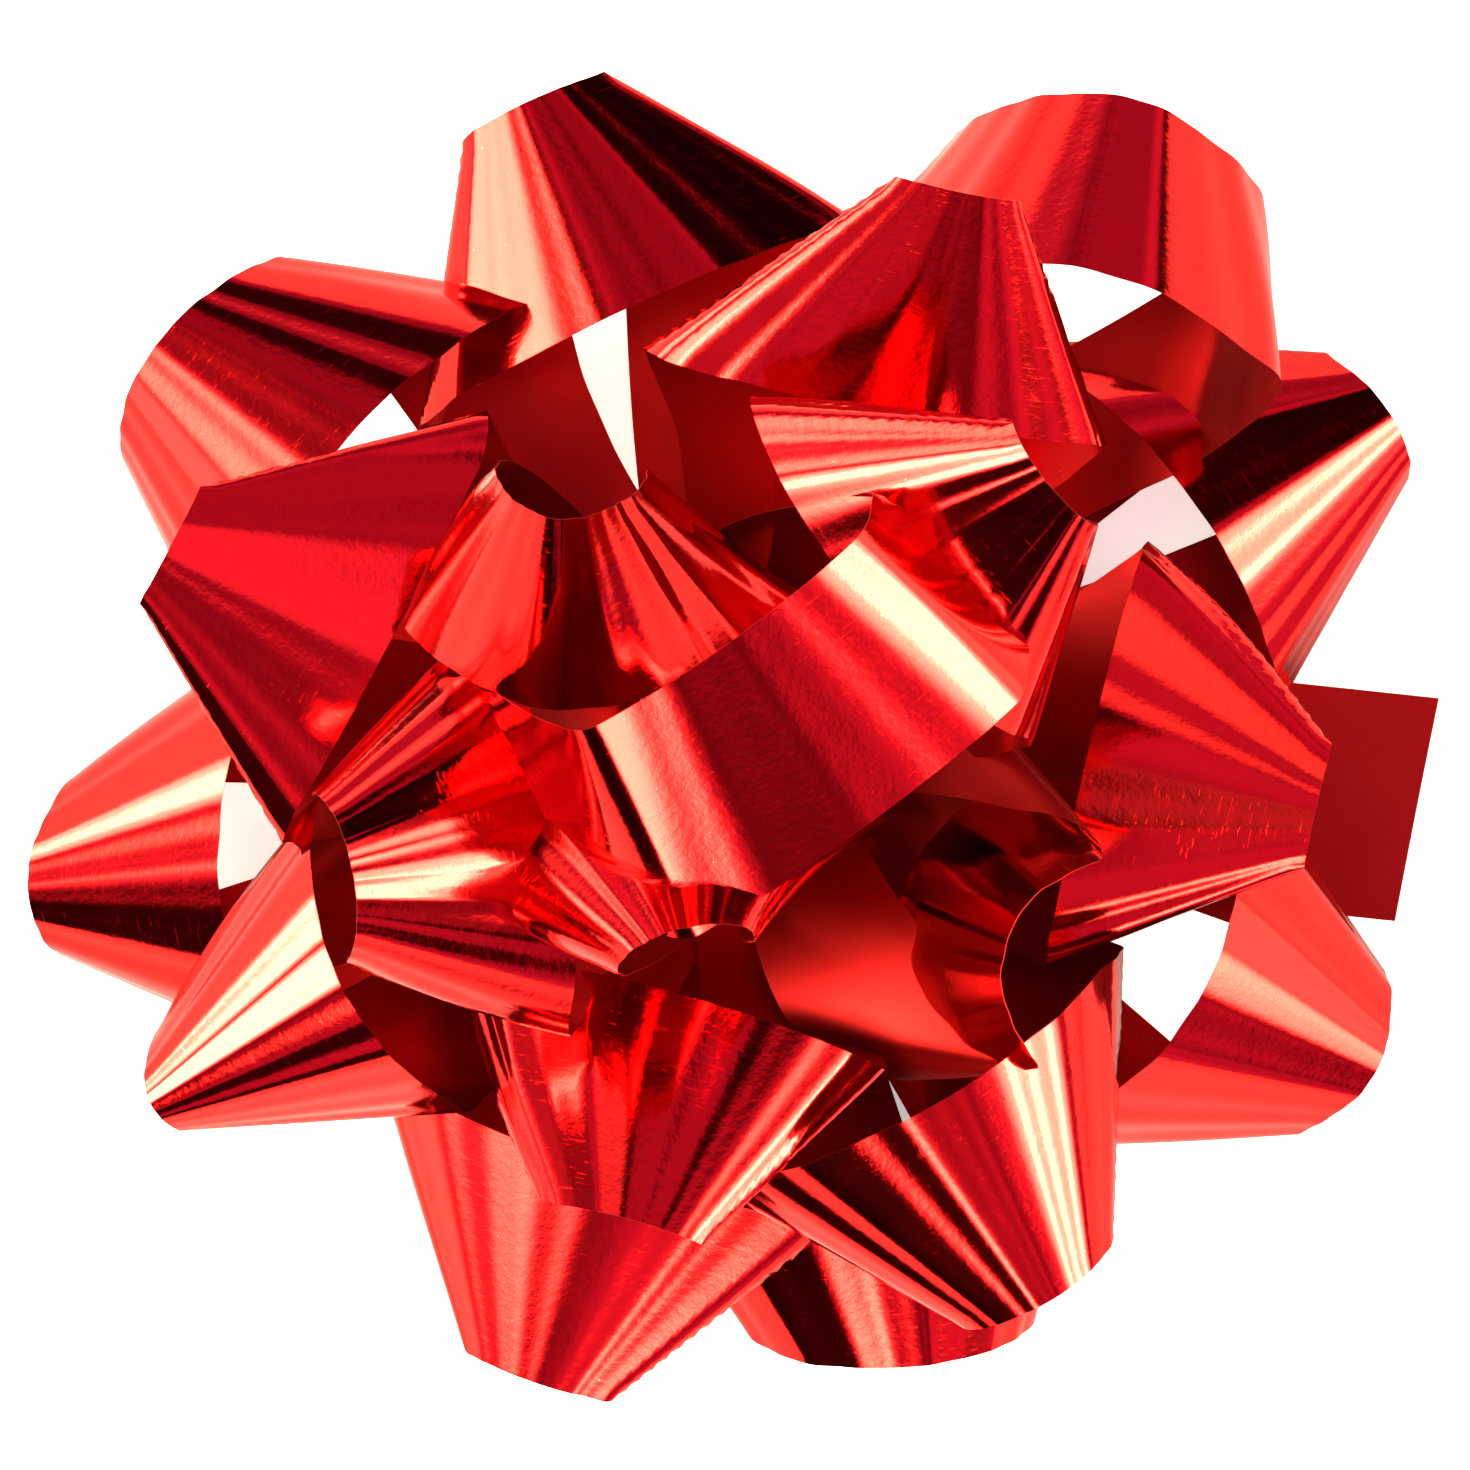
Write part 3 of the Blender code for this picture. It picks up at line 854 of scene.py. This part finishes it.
class GIFTBOW_OT_middle_loops(bpy.types.Operator):
    """Add the six loops of the middle tier"""

    bl_idname = "giftbow.middle_loops"
    bl_label = "Middle loops"

    def execute(self, context):
        add_loops(MIDDLE, context.scene.bow_sizes)
        return {"FINISHED"}


class GIFTBOW_OT_inner_loops(bpy.types.Operator):
    """Add the five loops of the inner tier"""

    bl_idname = "giftbow.inner_loops"
    bl_label = "Inner loops"

    def execute(self, context):
        add_loops(INNER, context.scene.bow_sizes)
        return {"FINISHED"}


class GIFTBOW_OT_centre_loop(bpy.types.Operator):
    """Add the loop that stands over the staple"""

    bl_idname = "giftbow.centre_loop"
    bl_label = "Centre loop"

    def execute(self, context):
        add_loops(CENTRE, context.scene.bow_sizes)
        return {"FINISHED"}


class GIFTBOW_OT_tail(bpy.types.Operator):
    """Add the ribbon's cut end, plain side up"""

    bl_idname = "giftbow.tail"
    bl_label = "Tail"

    def execute(self, context):
        sizes = context.scene.bow_sizes
        along, across = np.meshgrid(np.linspace(0.0, 1.0, 61), np.linspace(-0.5, 0.5, 17), indexing="ij")
        outward = heading(np.radians(TAIL_AZIMUTH))
        beside = np.array([-outward[1], outward[0], 0.0])
        gather = 1.0 - smoothstep((along - 0.05) / 0.4)
        offset = across * (sizes.ribbon_width + (TAIL_ROOT_WIDTH - sizes.ribbon_width) * gather)
        slant = TAIL_SLANT * across * sizes.ribbon_width
        distance = TAIL_START + along * (TAIL_REACH - TAIL_START + slant)
        points = distance[..., None] * outward + offset[..., None] * beside
        points[..., 2] += TAIL_HEIGHT + TAIL_CURL * along**2 * (2.0 * across) ** 2
        mesh = sheet_mesh("ribbon_tail_film", points, distance, offset)
        add_film("ribbon_tail_film", mesh, "tail", "ribbon_tail", sizes.film)
        return {"FINISHED"}


class GIFTBOW_OT_core(bpy.types.Operator):
    """Add the pressed stack of ribbon in the middle, and give the staple its wire finish"""

    bl_idname = "giftbow.core"
    bl_label = "Core and staple"

    def execute(self, context):
        mesh = stack_mesh("pressed_stack")
        stack = add_piece("pressed_stack", mesh, [core_material()], "bow")
        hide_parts("ribbon_core")
        dress("staple", wire_material())
        return {"FINISHED"}


class GIFTBOW_OT_base(bpy.types.Operator):
    """Give the base card, the adhesive pad and the release liner their finishes"""

    bl_idname = "giftbow.base"
    bl_label = "Card, pad and liner"

    def execute(self, context):
        colours = context.scene.bow_colours
        dress("base_card", fibre_material("base_card", tuple(colours.card), 0.72, 0.75, 1.0, 0.03 * MM))
        liner = tuple(colours.liner)
        dress("release_liner", fibre_material("liner_paper", liner, 0.86, 0.38, 0.3, 0.01 * MM))
        dress("adhesive_pad", foam_material(tuple(colours.foam)))
        return {"FINISHED"}


class GIFTBOW_PT_panel(bpy.types.Panel):
    """Lists the bow's pieces and the stage"""

    bl_label = "Gift Bow"
    bl_idname = "GIFTBOW_PT_panel"
    bl_space_type = "VIEW_3D"
    bl_region_type = "UI"
    bl_category = "Gift Bow"

    def draw(self, context):
        for group in (context.scene.bow_sizes, context.scene.bow_colours, context.scene.bow_stage):
            for key in group.__annotations__:
                self.layout.prop(group, key)
        for operator in OPERATORS:
            self.layout.operator(operator.bl_idname)


OPERATORS = (
    GIFTBOW_OT_stage,
    GIFTBOW_OT_lower_loops,
    GIFTBOW_OT_middle_loops,
    GIFTBOW_OT_inner_loops,
    GIFTBOW_OT_centre_loop,
    GIFTBOW_OT_tail,
    GIFTBOW_OT_core,
    GIFTBOW_OT_base,
)
GROUPS = (BowSizes, BowColours, BowStage)


def register():
    for kind in (*GROUPS, *OPERATORS, GIFTBOW_PT_panel):
        bpy.utils.register_class(kind)
    bpy.types.Scene.bow_sizes = PointerProperty(type=BowSizes)
    bpy.types.Scene.bow_colours = PointerProperty(type=BowColours)
    bpy.types.Scene.bow_stage = PointerProperty(type=BowStage)


def unregister():
    del bpy.types.Scene.bow_stage
    del bpy.types.Scene.bow_colours
    del bpy.types.Scene.bow_sizes
    for kind in reversed((*GROUPS, *OPERATORS, GIFTBOW_PT_panel)):
        bpy.utils.unregister_class(kind)


def main():
    register()
    bpy.ops.giftbow.stage()
    bpy.ops.giftbow.lower_loops()
    bpy.ops.giftbow.middle_loops()
    bpy.ops.giftbow.inner_loops()
    bpy.ops.giftbow.centre_loop()
    bpy.ops.giftbow.tail()
    bpy.ops.giftbow.core()
    bpy.ops.giftbow.base()


if __name__ == "__main__":
    main()
